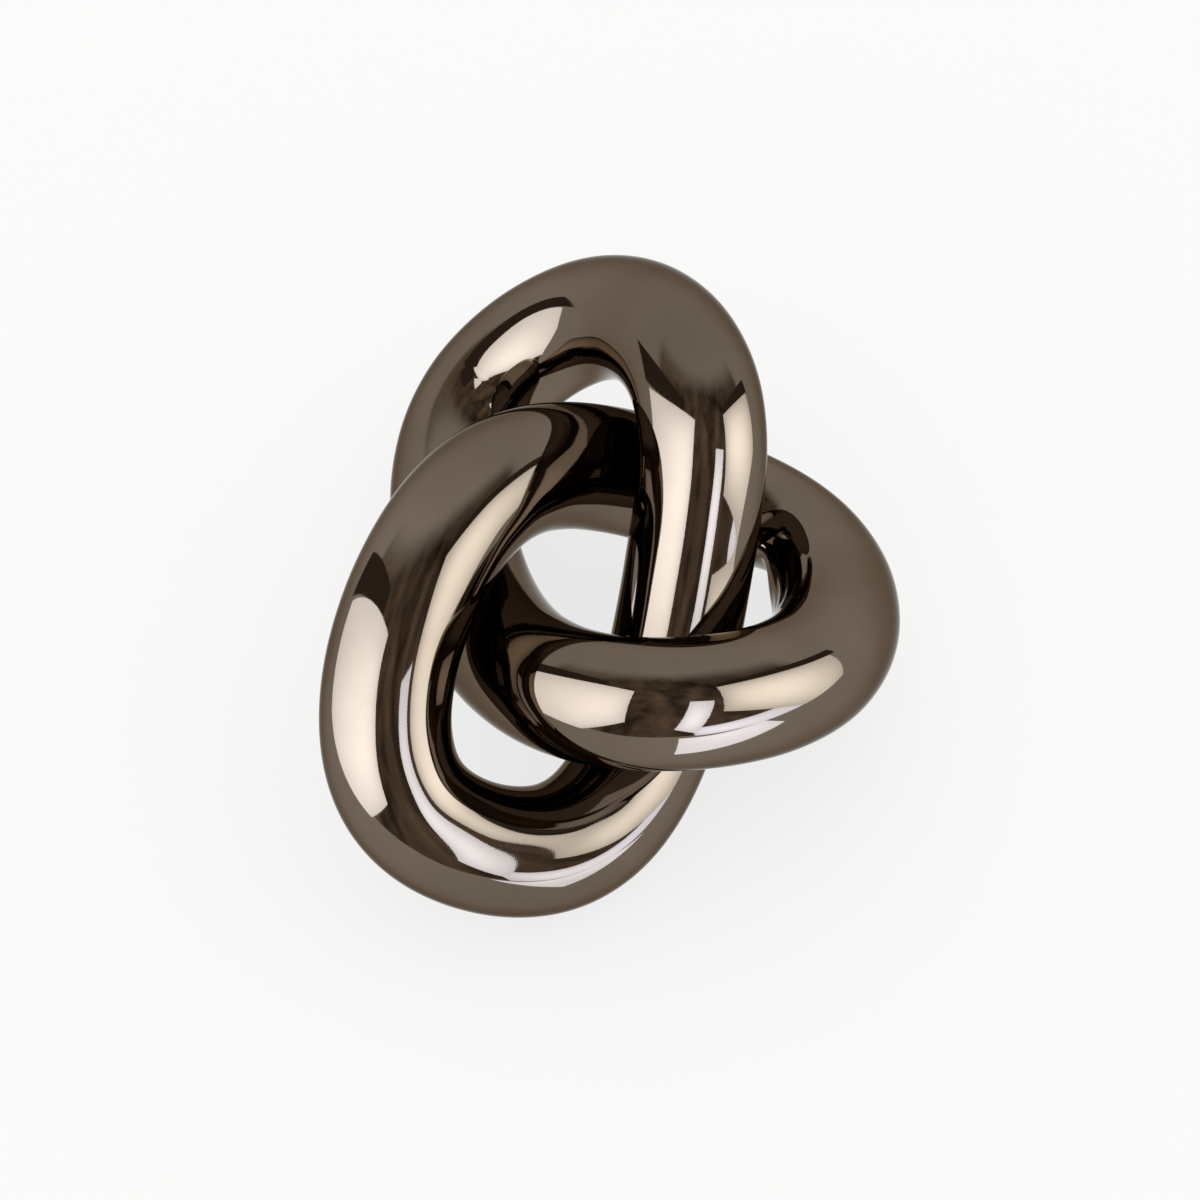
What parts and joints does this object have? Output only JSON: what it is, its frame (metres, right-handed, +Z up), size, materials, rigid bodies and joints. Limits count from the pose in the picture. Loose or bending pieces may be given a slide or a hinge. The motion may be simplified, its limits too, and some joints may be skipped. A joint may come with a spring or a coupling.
{
  "type": "knot sculpture",
  "caption": "Polished dark metal knot of fat round tube, a closed trefoil welded from hollow bends over inner sleeves, lying on clear bumpers as a table ornament.",
  "frame": {"origin": "on the table, under the middle of the knot's outline", "axes": "+Z up from the table, -Y towards the viewer of the picture, +X to that viewer's right"},
  "size_m": [0.1422, 0.179, 0.0837],
  "materials": {
    "plated_metal": "mirror-polished dark nickel plating over cast aluminium",
    "bare_sleeve": "turned, unpolished",
    "clear_bumper": "clear soft polyurethane"
  },
  "bodies": {
    "root": {"left_strand": "plated_metal", "right_lobe": "plated_metal", "front_strand": "plated_metal", "top_lobe": "plated_metal", "upright_strand": "plated_metal", "lower_lobe": "plated_metal", "left_rise_sleeve": "bare_sleeve", "left_fall_sleeve": "bare_sleeve", "right_rise_sleeve": "bare_sleeve", "front_fall_sleeve": "bare_sleeve", "top_rise_sleeve": "bare_sleeve", "upright_fall_sleeve": "bare_sleeve", "left_rise_weld": "plated_metal", "left_fall_weld": "plated_metal", "right_rise_weld": "plated_metal", "front_fall_weld": "plated_metal", "top_rise_weld": "plated_metal", "upright_fall_weld": "plated_metal", "right_foot": "clear_bumper", "back_foot": "clear_bumper", "front_foot": "clear_bumper"}
  },
  "joints": []
}
